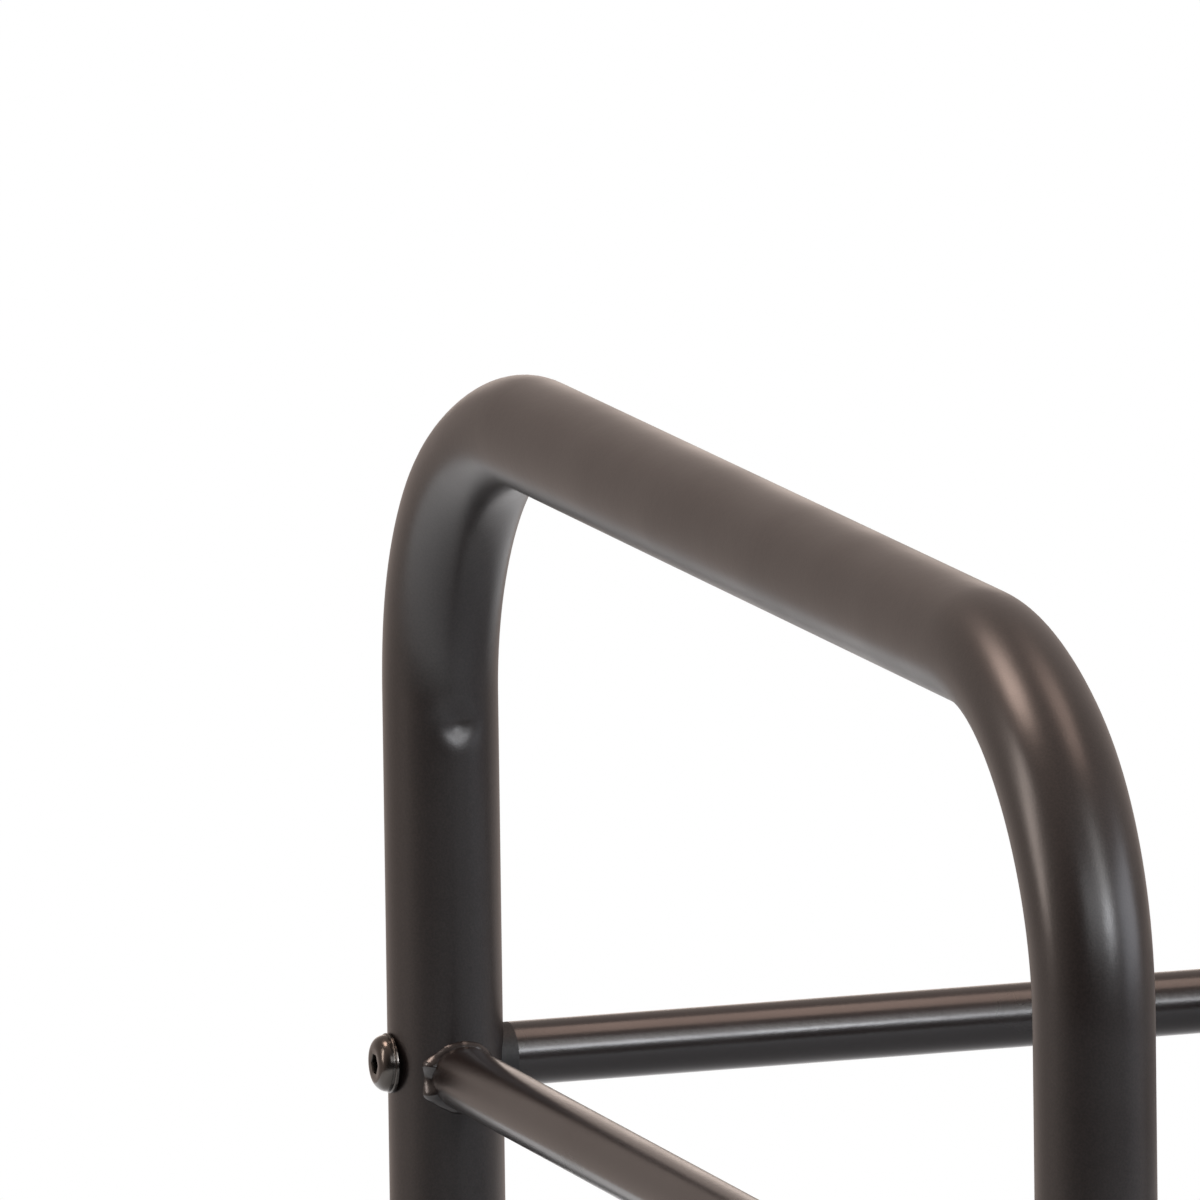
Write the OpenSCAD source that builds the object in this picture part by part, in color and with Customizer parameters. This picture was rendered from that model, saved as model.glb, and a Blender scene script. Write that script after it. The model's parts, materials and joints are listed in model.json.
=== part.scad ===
// Folding luggage rack in steel tube.
//
// Two hoops of bent tube stand at the ends. Two thin rails are bolted between them, and webbing
// straps are sewn round the rails to carry the bag. Below the rails each hoop ends in two stubs,
// and a leg frame hangs from each pair of stubs on knuckle hinges, so that it folds inwards.
//
// Origin: middle of the footprint, on the floor. +X along the rails, +Y to the rear, +Z up.

/* [Overall] */
// Distance between the two hoops, axis to axis
hoop_gap = 660; // [560:5:760]
// Distance between the front and rear legs, axis to axis
leg_gap = 418; // [340:2:480]
// Height of a hoop's top bar above the rails, axis to axis
hoop_rise = 147; // [120:1:220]
// Centreline radius of a hoop's bends
bend_r = 67; // [50:1:100]
// Length of a hoop's stubs below the rails
stub_drop = 90; // [60:1:140]
// Angle by which the open legs lean outwards
splay = 4; // [1:0.5:6]
// Space left between the left and right feet when both leg frames are folded
fold_gap = 30; // [10:1:80]

/* [Tubes] */
// Outside diameter of the hoops and legs
tube_d = 25; // [24:0.5:30]
// Wall of the hoops and legs
tube_wall = 1.2; // [0.8:0.1:1.5]
// Outside diameter of the rails, crossbars and stretchers
rail_d = 14; // [12:0.5:18]
// Wall of the rails, crossbars and stretchers
rail_wall = 1.2; // [0.8:0.1:1.5]
// How far a crossbar's axis lies below the rails' axis
crossbar_drop = 2; // [0:0.5:6]
// Height of a stretcher's axis above the floor, measured along the leg
stretcher_rise = 92; // [60:1:160]

/* [Rail joints] */
// Thread diameter of the rail bolts
rail_bolt_d = 6; // [5:0.5:6]
// Head diameter of the rail bolts
rail_head_d = 13; // [10:0.5:14]
// Head height of the rail bolts
rail_head_h = 3.8; // [3:0.1:5]
// Height of the straight rim of a button head
head_rim = 0.8; // [0.4:0.1:1.5]
// How far the flat on a button head lies below the top of its dome
head_flat = 0.4; // [0.1:0.1:0.8]
// Width across the flats of the hex sockets
socket_af = 4; // [3:0.5:5]
// Depth of the hex sockets
socket_depth = 2.2; // [1.5:0.1:2.6]
// Thickness of a saddle washer where it is thinnest
saddle_t = 2; // [1:0.5:4]
// Length of the threaded insert in each rail end
insert_len = 22; // [15:1:35]
// Length of bolt that the insert takes up
thread_len = 16; // [10:1:20]

/* [Straps] */
// Width of a webbing strap
strap_w = 50; // [38:1:60]
// Thickness of the webbing
strap_t = 1.8; // [1.2:0.1:2.4]
// Distance between neighbouring straps, middle to middle
strap_pitch = 125; // [80:1:160]
// Length of the sewn part of a strap's turned-in end
seam_len = 45; // [30:1:70]
// Angle at which the turned-in end rises from the rail to the strap
seam_rise = 20; // [15:1:30]
// Space between the rail and the webbing around it
strap_clear = 0.3; // [0.2:0.05:0.6]
// Space between the two layers of webbing in a seam
ply_gap = 0.1; // [0.05:0.05:0.3]

/* [Hinges] */
// Diameter of the hinge bolts
pivot_d = 8; // [6:0.5:9]
// Head diameter of the hinge bolts
pivot_head_d = 13; // [12:0.5:14]
// Head height of the hinge bolts
pivot_head_h = 4; // [3:0.1:5]
// Width across the flats of the lock nuts
nut_af = 13; // [12:0.5:14]
// Height of the lock nuts
nut_h = 7; // [6:0.5:9]
// Height of a lock nut's hexagon, below its round collar
nut_hex_h = 5; // [4:0.1:6]
// Diameter of a lock nut's round collar
nut_collar_d = 12; // [11:0.5:12]
// Thickness of a hinge tongue
tongue_t = 9; // [7:0.5:10]
// Radius of the round head of a hinge tongue
tongue_r = 8.5; // [7.5:0.25:9]
// Thickness of a friction washer
washer_t = 1; // [0.5:0.1:1.2]
// Diameter of a friction washer
washer_d = 16; // [13:0.5:16]
// Distance between the two flats on a hinge fork
flats_gap = 21.2; // [20:0.2:22]
// Radius of the rounded lower end of a hinge fork
fork_r = 12; // [11.5:0.1:12.5]
// Steel above the tongue in a hinge fork
fork_roof = 4; // [3:0.5:8]
// Thickness of the collars that the tubes butt against
collar_t = 3; // [2:0.5:6]
// Bevel on the free edge of a collar
collar_bevel = 1; // [0.3:0.1:1.5]
// Length of the plugs that join the hinges to the tubes
plug_len = 28; // [22:1:40]
// Diameter of the rivets through the plugs
rivet_d = 4; // [3:0.5:5]
// Head diameter of the rivets
rivet_head_d = 8; // [7:0.5:9]
// Head height of the rivets
rivet_head_h = 1.6; // [1:0.1:2.2]
// Height of the straight rim of a rivet's head
rivet_rim = 0.4; // [0.2:0.1:0.8]

/* [Feet] */
// Outside diameter of the rubber feet
foot_d = 31; // [30:0.5:36]
// Height of the rubber feet
foot_h = 34; // [25:1:50]
// Thickness of a foot's sole under the tube
sole_t = 6; // [4:0.5:10]
// Radius of the rounded upper rim of a foot
foot_round = 2; // [1:0.25:2.5]

/* [Clearances] */
// Radial play of each pin or bolt in its bore
pin_play = 0.05; // [0.03:0.01:0.1]
// Radial play of a plug or foot on its tube
plug_play = 0.1; // [0.05:0.01:0.2]
// Radial play of a rail bolt in the hoop's holes
bolt_play = 0.3; // [0.1:0.05:0.5]
// Play of a friction washer on each side
washer_play = 0.05; // [0.03:0.01:0.1]
// Space between the tongue's flat and the stop in the open position
stop_play = 0.3; // [0.2:0.05:0.5]
// Space between the tongue's head and the roof of the fork
head_play = 1; // [0.5:0.1:2]
// Space between the fork's lower end and the collar on the leg
collar_play = 2; // [1.5:0.1:4]

/* [Hidden] */
$fn = 96;

// Which side a piece belongs to: left and front are -1, right and rear are +1
LEFT = -1;
RIGHT = 1;
FRONT = -1;
REAR = 1;
ENDS = [LEFT, RIGHT];
SIDES = [FRONT, REAR];

COAT = "#3a3434";
DARK_STEEL = "#1c1c1f";
WEBBING = "#1b1b1d";
RUBBER = "#161616";
NYLON = "#101012";

tube_r = tube_d / 2;
rail_r = rail_d / 2;
past = 1; // how far a cut runs past the face that it leaves

// Heights, from the floor up: a leg is as long as lets both frames fold in line under the rack
leg_len = (hoop_gap - fold_gap) / 2;
hinge_z = leg_len * cos(splay);
stub_end = tongue_r + head_play + fork_roof; // above the hinge's axis
rail_z = hinge_z + stub_end + stub_drop;
crossbar_z = rail_z - crossbar_drop;

// Hinge, seen from its own axis
slot_w = tongue_t + 2 * (washer_t + 2 * washer_play);
collar_top = fork_r + collar_play;
plug_d = tube_d - 2 * (tube_wall + plug_play);
bore_r = pivot_d / 2 + pin_play;
rivet_at = plug_len / 2; // from the end of the tube

rail_end = hoop_gap / 2 - tube_r - saddle_t;
bolt_len = tube_d + saddle_t + thread_len;
loop_r = rail_r + strap_clear + strap_t / 2; // middle of the webbing around a rail

// ---- Shared shapes ----

// Straight tube along +Z
module tube(d, wall, len) {
    difference() {
        cylinder(d = d, h = len);
        translate([0, 0, -past]) cylinder(d = d - 2 * wall, h = len + 2 * past);
    }
}

// Quarter turn of a round bar, from the +X direction to the +Y direction around the Z axis
module quarter_bend(r, bar_d) {
    rotate_extrude(angle = 90) translate([r, 0]) circle(d = bar_d);
}

// Solid line of a hoop in the YZ plane, with its stubs ending at height 0
module hoop_bar(bar_d, extra) {
    leg_h = stub_drop + hoop_rise - bend_r;
    top_len = leg_gap - 2 * bend_r;
    for (side = SIDES) {
        translate([0, side * leg_gap / 2, -extra]) cylinder(d = bar_d, h = leg_h + extra);
        translate([0, side * top_len / 2, leg_h])
            rotate([90, 0, side * 90]) quarter_bend(bend_r, bar_d);
    }
    translate([0, top_len / 2, leg_h + bend_r]) rotate([90, 0, 0]) cylinder(d = bar_d, h = top_len);
}

// Bolt along Z: the dome's underside lies at height 0 and the shank hangs below it
module button_bolt(shank_d, shank_len, head_d, head_h) {
    dome_h = head_h - head_rim + head_flat;
    dome_r = (dome_h * dome_h + head_d * head_d / 4) / (2 * dome_h);
    difference() {
        union() {
            translate([0, 0, -shank_len]) cylinder(d = shank_d, h = shank_len);
            intersection() {
                cylinder(d = head_d, h = head_h);
                translate([0, 0, head_rim + dome_h - dome_r]) sphere(r = dome_r);
            }
        }
        translate([0, 0, head_h - socket_depth])
            cylinder(d = socket_af / cos(30), h = socket_depth + past, $fn = 6);
    }
}

// Rivet along +X, seated on the inner side of a tube whose axis is Z
module tube_rivet() {
    cap_h = rivet_head_h - rivet_rim;
    cap_r = (cap_h * cap_h + rivet_head_d * rivet_head_d / 4) / (2 * cap_h);
    difference() {
        rotate([0, 90, 0]) {
            cylinder(d = rivet_head_d, h = tube_r + rivet_rim);
            translate([0, 0, tube_r + rivet_rim]) rotate_extrude() intersection() {
                translate([0, cap_h - cap_r]) circle(r = cap_r);
                square([rivet_head_d / 2, cap_h]);
            }
        }
        translate([0, 0, -rivet_head_d]) difference() {
            cylinder(d = tube_d, h = 2 * rivet_head_d);
            translate([0, 0, rivet_head_d]) rotate([0, 90, 0]) cylinder(d = rivet_d, h = tube_d);
        }
    }
}

// Hole for that rivet
module rivet_hole() {
    rotate([0, 90, 0]) cylinder(r = rivet_d / 2 + pin_play, h = tube_r + past);
}

// Collar that a tube butts against at height 0, with its free edge bevelled
module collar() {
    cylinder(d = tube_d, h = collar_t - collar_bevel);
    translate([0, 0, collar_t - collar_bevel])
        cylinder(d1 = tube_d, d2 = tube_d - 2 * collar_bevel, h = collar_bevel);
}

// ---- Frames of reference ----

// A hoop's leg: X points to the middle of the rack and the axis is the leg's own
module at_leg(end, side, z) {
    translate([end * hoop_gap / 2, side * leg_gap / 2, z]) rotate([0, 0, end == RIGHT ? 180 : 0])
        children();
}

// A leg frame: the hinges' axis is the origin and the legs run down along -Z
module in_leg_frame(end) {
    translate([end * hoop_gap / 2, 0, hinge_z]) rotate([0, -end * splay, 0])
        rotate([0, 0, end == RIGHT ? 180 : 0]) children();
}

// Turning the right-hand frame round swaps its front and rear, and this swaps them back
function frame_side(end, side) = end == RIGHT ? -side : side;

// ---- Upper frame ----

module hoop(end) {
    color(COAT) difference() {
        translate([end * hoop_gap / 2, 0, rail_z - stub_drop])
            hoop_bar(tube_d, 0);
        translate([end * hoop_gap / 2, 0, rail_z - stub_drop])
            hoop_bar(tube_d - 2 * tube_wall, past);
        for (side = SIDES) {
            at_leg(end, side, rail_z) translate([-tube_d, 0, 0]) rotate([0, 90, 0])
                cylinder(r = rail_bolt_d / 2 + bolt_play, h = 2 * tube_d);
            at_leg(end, side, hinge_z + stub_end + rivet_at) rivet_hole();
        }
    }
}

// Bar between two legs, with its ends cut to the legs' round
module coped_bar() {
    difference() {
        translate([0, leg_gap / 2, 0]) rotate([90, 0, 0]) tube(rail_d, rail_wall, leg_gap);
        for (side = SIDES)
            translate([0, side * leg_gap / 2, -rail_d]) cylinder(d = tube_d, h = 2 * rail_d);
    }
}

module crossbar(end) {
    color(COAT) translate([end * hoop_gap / 2, 0, crossbar_z]) coped_bar();
}

module rail(side) {
    color(COAT) translate([-rail_end, side * leg_gap / 2, rail_z]) rotate([0, 90, 0])
        tube(rail_d, rail_wall, 2 * rail_end);
}

module rail_inserts() {
    insert_d = rail_d - 2 * (rail_wall + pin_play);
    color(DARK_STEEL) for (end = ENDS, side = SIDES)
        at_leg(end, side, rail_z) translate([tube_r + saddle_t, 0, 0]) rotate([0, 90, 0])
            tube(insert_d, (insert_d - rail_bolt_d) / 2 - pin_play, insert_len);
}

module saddle_washers() {
    color(NYLON) for (end = ENDS, side = SIDES) at_leg(end, side, rail_z) difference() {
        rotate([0, 90, 0]) cylinder(d = rail_d, h = tube_r + saddle_t);
        translate([0, 0, -rail_d]) cylinder(r = tube_r + pin_play, h = 2 * rail_d);
        rotate([0, 90, 0]) cylinder(r = rail_bolt_d / 2 + bolt_play, h = tube_d);
    }
}

module rail_bolts() {
    color(DARK_STEEL) for (end = ENDS, side = SIDES)
        at_leg(end, side, rail_z) translate([-tube_r, 0, 0]) rotate([0, -90, 0])
            button_bolt(rail_bolt_d, bolt_len, rail_head_d, rail_head_h);
}

// ---- Straps ----

function reversed(points) = [for (i = [len(points) - 1 : -1 : 0]) points[i]];

// Edge of the webbing on one side of its middle line: over and round the rail, and up the
// turned-in end to the end of the seam. Y is along the strap, from its middle, and Z is up.
function strap_edge(away) = let (
    r = loop_r + away,
    seam_z = loop_r - strap_t - ply_gap,
    run = (seam_z + loop_r * cos(seam_rise)) / sin(seam_rise),
    turn_end = [leg_gap / 2 - r * sin(seam_rise), -r * cos(seam_rise)],
    seam_start = turn_end + run * [-cos(seam_rise), sin(seam_rise)]
) concat(
    [for (a = [90 : -10 : -90 - seam_rise / 2]) [leg_gap / 2 + r * cos(a), r * sin(a)]],
    [turn_end, seam_start, [seam_start[0] - seam_len, seam_z - away]]
);

// A band of webbing across both rails, folded round each and sewn to itself
module strap(place) {
    half = concat(strap_edge(strap_t / 2), reversed(strap_edge(-strap_t / 2)));
    other_half = [for (point = reversed(half)) [-point[0], point[1]]];
    color(WEBBING) translate([place * strap_pitch - strap_w / 2, 0, rail_z])
        rotate([90, 0, 90]) linear_extrude(strap_w) polygon(concat(half, other_half));
}

// ---- Hinges ----

// Space that the tongue sweeps between its open and its folded position, in the XZ plane
module tongue_sweep() {
    clear_r = tongue_r + stop_play;
    circle(r = tongue_r + head_play);
    rotate(-splay) translate([-clear_r, -tube_d]) square([2 * tube_d, tube_d]);
    translate([0, -tube_d]) square([2 * tube_d, tube_d + tongue_r + head_play]);
}

// Side view of a fork: round below its bolt, and square on the outer side where the stop is
module fork_side() {
    circle(r = fork_r);
    translate([-tube_r, 0]) square([tube_d, stub_end]);
    translate([-tube_r, -fork_r]) square([tube_r, fork_r]);
}

module fork(end, side) {
    color(COAT) at_leg(end, side, hinge_z) difference() {
        union() {
            translate([0, 0, stub_end]) cylinder(d = plug_d, h = plug_len);
            intersection() {
                translate([0, 0, -tube_d]) cylinder(d = tube_d, h = tube_d + stub_end);
                translate([0, flats_gap / 2, 0]) rotate([90, 0, 0])
                    linear_extrude(flats_gap) fork_side();
            }
            translate([0, 0, stub_end]) rotate([180, 0, 0]) collar();
        }
        translate([0, slot_w / 2, 0]) rotate([90, 0, 0]) linear_extrude(slot_w) tongue_sweep();
        translate([0, tube_d, 0]) rotate([90, 0, 0]) cylinder(r = bore_r, h = 2 * tube_d);
        translate([0, 0, stub_end + rivet_at]) rivet_hole();
    }
}

module fork_rivets() {
    color(DARK_STEEL) for (end = ENDS, side = SIDES)
        at_leg(end, side, hinge_z + stub_end + rivet_at) tube_rivet();
}

module friction_washers() {
    from = tongue_t / 2 + washer_play;
    color(NYLON) for (end = ENDS, side = SIDES, face = [-1, 1])
        at_leg(end, side, hinge_z) translate([0, face * (from + washer_t / 2), 0])
            rotate([90, 0, 0]) translate([0, 0, -washer_t / 2])
                tube(washer_d, washer_d / 2 - bore_r, washer_t);
}

module pivot_bolts() {
    color(DARK_STEEL) for (end = ENDS, side = SIDES)
        translate([end * hoop_gap / 2, side * (leg_gap + flats_gap) / 2, hinge_z])
            rotate([-side * 90, 0, 0])
                button_bolt(pivot_d, flats_gap + nut_h + past, pivot_head_d, pivot_head_h);
}

// Lock nut: a hexagon with bevelled corners and a round collar that holds the nylon ring
module lock_nut() {
    flat_r = nut_af / 2;
    corner_r = flat_r / cos(30);
    bevel = (corner_r - flat_r) * tan(30);
    difference() {
        union() {
            intersection() {
                cylinder(r = corner_r, h = nut_hex_h, $fn = 6);
                rotate_extrude() polygon([[0, 0], [flat_r, 0], [corner_r, bevel],
                    [corner_r, nut_hex_h - bevel], [flat_r, nut_hex_h], [0, nut_hex_h]]);
            }
            cylinder(d = nut_collar_d, h = nut_h);
        }
        translate([0, 0, -past]) cylinder(r = bore_r, h = nut_h + 2 * past);
    }
}

module pivot_nuts() {
    color(DARK_STEEL) for (end = ENDS, side = SIDES)
        translate([end * hoop_gap / 2, side * (leg_gap - flats_gap) / 2, hinge_z])
            rotate([side * 90, 0, 0]) lock_nut();
}

module tongue(end, side) {
    color(COAT) in_leg_frame(end) translate([0, frame_side(end, side) * leg_gap / 2, 0]) difference() {
        union() {
            translate([0, tongue_t / 2, 0]) rotate([90, 0, 0]) linear_extrude(tongue_t) {
                circle(r = tongue_r);
                translate([-tongue_r, -collar_top]) square([2 * tongue_r, collar_top]);
            }
            translate([0, 0, -collar_top - collar_t]) collar();
            translate([0, 0, -collar_top - collar_t - plug_len]) cylinder(d = plug_d, h = plug_len);
        }
        translate([0, tube_d, 0]) rotate([90, 0, 0]) cylinder(r = bore_r, h = 2 * tube_d);
        translate([0, 0, -collar_top - collar_t - rivet_at]) rivet_hole();
    }
}

// ---- Leg frames ----

module leg(end, side) {
    tube_top = collar_top + collar_t;
    color(COAT) in_leg_frame(end) translate([0, frame_side(end, side) * leg_gap / 2, 0]) difference() {
        translate([0, 0, sole_t - leg_len]) tube(tube_d, tube_wall, leg_len - sole_t - tube_top);
        translate([0, 0, -tube_top - rivet_at]) rivet_hole();
    }
}

module stretcher(end) {
    color(COAT) in_leg_frame(end) translate([0, 0, stretcher_rise - leg_len]) coped_bar();
}

module leg_rivets(end) {
    color(DARK_STEEL) for (side = SIDES)
        in_leg_frame(end)
            translate([0, side * leg_gap / 2, -collar_top - collar_t - rivet_at]) tube_rivet();
}

// Outline of a foot from its axis out, with its sole running past the floor
module foot_half() {
    foot_r = foot_d / 2;
    deep = foot_r * tan(splay) + past;
    difference() {
        union() {
            translate([0, -deep]) square([foot_r, foot_h - foot_round + deep]);
            translate([0, foot_h - 2 * foot_round]) square([foot_r - foot_round, 2 * foot_round]);
            translate([foot_r - foot_round, foot_h - foot_round]) circle(r = foot_round);
        }
        translate([0, sole_t]) square([tube_r + plug_play / 2, foot_h]);
        translate([-foot_r, -deep]) square([foot_r, foot_h + 2 * deep]);
    }
}

module foot(end, side) {
    color(RUBBER) difference() {
        in_leg_frame(end) translate([0, frame_side(end, side) * leg_gap / 2, -leg_len])
            rotate_extrude() foot_half();
        translate([-hoop_gap, -leg_gap, -foot_h]) cube([2 * hoop_gap, 2 * leg_gap, foot_h]);
    }
}

hoop(LEFT);  // left_hoop
hoop(RIGHT);  // right_hoop
crossbar(LEFT);  // left_crossbar
crossbar(RIGHT);  // right_crossbar
rail(FRONT);  // front_rail
rail(REAR);  // rear_rail
rail_inserts();
saddle_washers();
rail_bolts();
strap(-1);  // left_strap
strap(0);  // middle_strap
strap(1);  // right_strap
fork(LEFT, FRONT);  // front_left_fork
fork(LEFT, REAR);  // rear_left_fork
fork(RIGHT, FRONT);  // front_right_fork
fork(RIGHT, REAR);  // rear_right_fork
fork_rivets();
friction_washers();
pivot_bolts();
pivot_nuts();
leg(LEFT, FRONT);  // front_left_leg
leg(LEFT, REAR);  // rear_left_leg
stretcher(LEFT);  // left_stretcher
tongue(LEFT, FRONT);  // front_left_tongue
tongue(LEFT, REAR);  // rear_left_tongue
leg_rivets(LEFT);  // left_leg_rivets
foot(LEFT, FRONT);  // front_left_foot
foot(LEFT, REAR);  // rear_left_foot
leg(RIGHT, FRONT);  // front_right_leg
leg(RIGHT, REAR);  // rear_right_leg
stretcher(RIGHT);  // right_stretcher
tongue(RIGHT, FRONT);  // front_right_tongue
tongue(RIGHT, REAR);  // rear_right_tongue
leg_rivets(RIGHT);  // right_leg_rivets
foot(RIGHT, FRONT);  // front_right_foot
foot(RIGHT, REAR);  // rear_right_foot
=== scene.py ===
"""Folding luggage rack: finishes and fine shapes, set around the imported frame.

Tubes, weld beads, bolts, webbing and feet are surfaces worked out with numpy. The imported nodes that
already have their shape keep it and get a finish.
"""

import json
import math

import bpy
import numpy as np
from mathutils import Matrix, Vector


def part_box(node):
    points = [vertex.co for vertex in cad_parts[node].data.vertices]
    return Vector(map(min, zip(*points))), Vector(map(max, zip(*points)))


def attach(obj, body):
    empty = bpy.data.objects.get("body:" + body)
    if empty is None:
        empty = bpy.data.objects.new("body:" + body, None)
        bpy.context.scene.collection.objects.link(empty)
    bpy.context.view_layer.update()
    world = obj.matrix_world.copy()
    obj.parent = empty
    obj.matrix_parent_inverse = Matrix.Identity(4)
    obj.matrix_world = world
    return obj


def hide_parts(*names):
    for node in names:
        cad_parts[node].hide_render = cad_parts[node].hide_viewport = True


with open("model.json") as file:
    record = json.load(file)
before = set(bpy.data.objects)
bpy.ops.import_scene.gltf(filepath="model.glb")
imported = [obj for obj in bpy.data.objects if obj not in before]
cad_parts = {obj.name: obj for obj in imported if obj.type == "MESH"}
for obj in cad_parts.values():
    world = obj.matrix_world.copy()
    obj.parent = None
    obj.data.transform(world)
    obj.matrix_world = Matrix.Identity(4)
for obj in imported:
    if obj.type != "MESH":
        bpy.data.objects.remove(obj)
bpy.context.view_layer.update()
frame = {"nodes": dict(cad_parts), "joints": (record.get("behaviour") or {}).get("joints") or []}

bl_info = {
    "name": "Folding luggage rack",
    "version": (1, 0, 0),
    "blender": (4, 5, 0),
    "location": "3D View > Sidebar > Luggage rack",
    "description": "Dresses a folding luggage rack of coated steel tube with webbing straps",
    "category": "Add Mesh",
}

MM = 0.001
LEFT, RIGHT = -1, 1
FRONT, REAR = -1, 1
END_NAMES = {LEFT: "left", RIGHT: "right"}
SIDE_NAMES = {FRONT: "front", REAR: "rear"}


# ---- Sizes that the frame already holds, in metres ----

def box(node):
    """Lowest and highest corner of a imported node, as arrays."""
    low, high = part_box(node)
    return np.array(low), np.array(high)


hoop_low, hoop_high = box("left_hoop")
rail_low, rail_high = box("rear_rail")
crossbar_low, crossbar_high = box("left_crossbar")
strap_low, strap_high = box("middle_strap")

TUBE_R = (hoop_high[0] - hoop_low[0]) / 2
HOOP_X = -(hoop_low[0] + hoop_high[0]) / 2
LEG_Y = hoop_high[1] - TUBE_R
TOP_Z = hoop_high[2] - TUBE_R
STUB_Z = hoop_low[2]
RAIL_R = (rail_high[2] - rail_low[2]) / 2
RAIL_Z = (rail_high[2] + rail_low[2]) / 2
CROSSBAR_Z = (crossbar_high[2] + crossbar_low[2]) / 2
STRAP_W = strap_high[0] - strap_low[0]
STRAP_TOP = strap_high[2]
HINGE_Z = frame["joints"][0]["pos_m"][2]


# ---- Studio, in metres and degrees ----

# Way towards the side that is left open and dim, and the tint of the surround's light
OPEN_SIDE = (0.0, -0.92, -0.39)
WARM_WHITE = "#ffece2"

# Radius of the floor, and the spot where it is darkest
FLOOR_R = 1.5
DARK_SPOT = (0.25, -0.25, 0.0)

# Soft boxes: name, azimuth, elevation, distance, width, height, radiance and colour. Azimuth 0 is
# the front and 90 the right.
SOFT_BOXES = (
    ("front spot", 20, 21, 2.5, 0.4, 0.3, 29, "#f4f8ff"),
    ("front strip", 21, 32, 2.5, 0.4, 1.6, 6, "#fffdfb"),
    ("front box", 0, 27, 2.6, 1.8, 1.1, 2.4, "#fbfcff"),
    ("right box", 60, 15, 2.6, 1.6, 1.3, 3.6, "#f2f6ff"),
    ("left box", -100, 22, 2.6, 0.6, 1.6, 8, "#ffeee4"),
    ("top box", -127, 64, 2.5, 0.8, 0.8, 14, "#ffe0d0"),
    ("ceiling box", 92, 70, 2.5, 1.5, 0.7, 3.6, "#ffdccb"),
    ("rear box", 165, 7, 2.5, 0.9, 0.5, 1.2, "#ffeee2"),
)

# Camera: focal length and sensor width in millimetres, azimuth, elevation, roll, distance, and the
# point it looks at, in millimetres from the left hoop's rear leg axis at the height of the rails
CAMERA_LENS = 918.06
CAMERA_SENSOR = 36
CAMERA_AZIMUTH = -18.653
CAMERA_ELEVATION = 9.857
CAMERA_ROLL = -0.781
CAMERA_DISTANCE = 6.60786
CAMERA_AIM = (38.28, 4.89, 97.11)


# ---- Sizes and colours that a user would change ----

def linear(code):
    """Linear RGBA of an sRGB hex colour, by the sRGB transfer curve."""
    srgb = np.array([int(code[i:i + 2], 16) for i in (1, 3, 5)]) / 255
    rgb = np.where(srgb <= 0.04045, srgb / 12.92, ((srgb + 0.055) / 1.055) ** 2.4)
    return (*rgb.tolist(), 1.0)


def length(name, description, millimetres):
    """A size in millimetres, as a Blender length."""
    return bpy.props.FloatProperty(
        name=name, description=description, default=millimetres * MM, unit="LENGTH", precision=5)


def angle(name, description, degrees):
    """A size in degrees, as a Blender angle."""
    return bpy.props.FloatProperty(
        name=name, description=description, default=math.radians(degrees), subtype="ANGLE")


def colour(name, description, code):
    """A colour given as an sRGB hex value."""
    return bpy.props.FloatVectorProperty(
        name=name, description=description, default=linear(code), size=4, subtype="COLOR",
        min=0, max=1)


class RackTubes(bpy.types.PropertyGroup):
    """Bent tube of the hoops, and the welds on them."""
    wall: length("Wall", "Wall of the hoops", 1.2)
    bend_radius: length("Bend radius", "Centreline radius of a hoop's bends", 67)
    bend_sink: length("Bend sink", "How far a bend's outer wall sinks under the bending die", 1.4)
    bend_swell: length("Bend swell", "How far a bend's outer wall swells where the bend starts", 0.5)
    bend_spread: length("Bend spread", "How far a bend's sides spread", 0.5)
    dent_depth: length("Dent depth", "Depth of the dent that the bending die leaves", 1.4)
    dent_size: length("Dent size", "Radius of that dent", 3.8)
    dent_drop: length("Dent drop", "Distance from a bend's start to the middle of its dent", 4.4)
    bead_size: length("Bead size", "How far a weld bead reaches from its corner", 1.1)
    stretcher_rise: length("Stretcher rise", "Height of a stretcher, measured along the leg", 92)
    splay: angle("Splay", "Angle by which the open legs lean outwards", 4)


class RackBolts(bpy.types.PropertyGroup):
    """Button-head bolts and lock nuts."""
    rail_head: length("Rail bolt head", "Head diameter of the rail bolts", 13)
    rail_head_h: length("Rail bolt head height", "Head height of the rail bolts", 3.8)
    rail_shank: length("Rail bolt thread", "Thread diameter of the rail bolts", 6)
    rail_shank_len: length("Rail bolt length", "Length of a rail bolt under its head", 43)
    pivot_head: length("Hinge bolt head", "Head diameter of the hinge bolts", 13)
    pivot_head_h: length("Hinge bolt head height", "Head height of the hinge bolts", 4)
    pivot_shank: length("Hinge bolt diameter", "Diameter of the hinge bolts", 8)
    socket: length("Socket", "Width across the flats of the hex sockets", 4)
    socket_depth: length("Socket depth", "Depth of the hex sockets", 2.2)
    nut: length("Nut", "Width across the flats of the lock nuts", 13)
    nut_h: length("Nut height", "Height of the lock nuts", 7)
    nut_hex_h: length("Nut hexagon", "Height of a lock nut's hexagon", 5)
    nut_collar: length("Nut collar", "Diameter of a lock nut's round collar", 12)


class RackStraps(bpy.types.PropertyGroup):
    """Webbing straps sewn round the rails."""
    thickness: length("Thickness", "Thickness of the webbing", 1.8)
    ply_gap: length("Ply gap", "Space between the two layers of a seam", 0.1)
    seam: length("Seam", "Length of the sewn part of a turned-in end", 45)
    seam_rise: angle("Seam rise", "Angle at which the turned-in end rises to the strap", 20)
    sag: length("Sag", "How far the strap hangs at its middle", 1.6)
    stitch: length("Stitch", "Length of a stitch", 3.2)
    thread: length("Thread", "Diameter of the sewing thread", 0.9)


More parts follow.
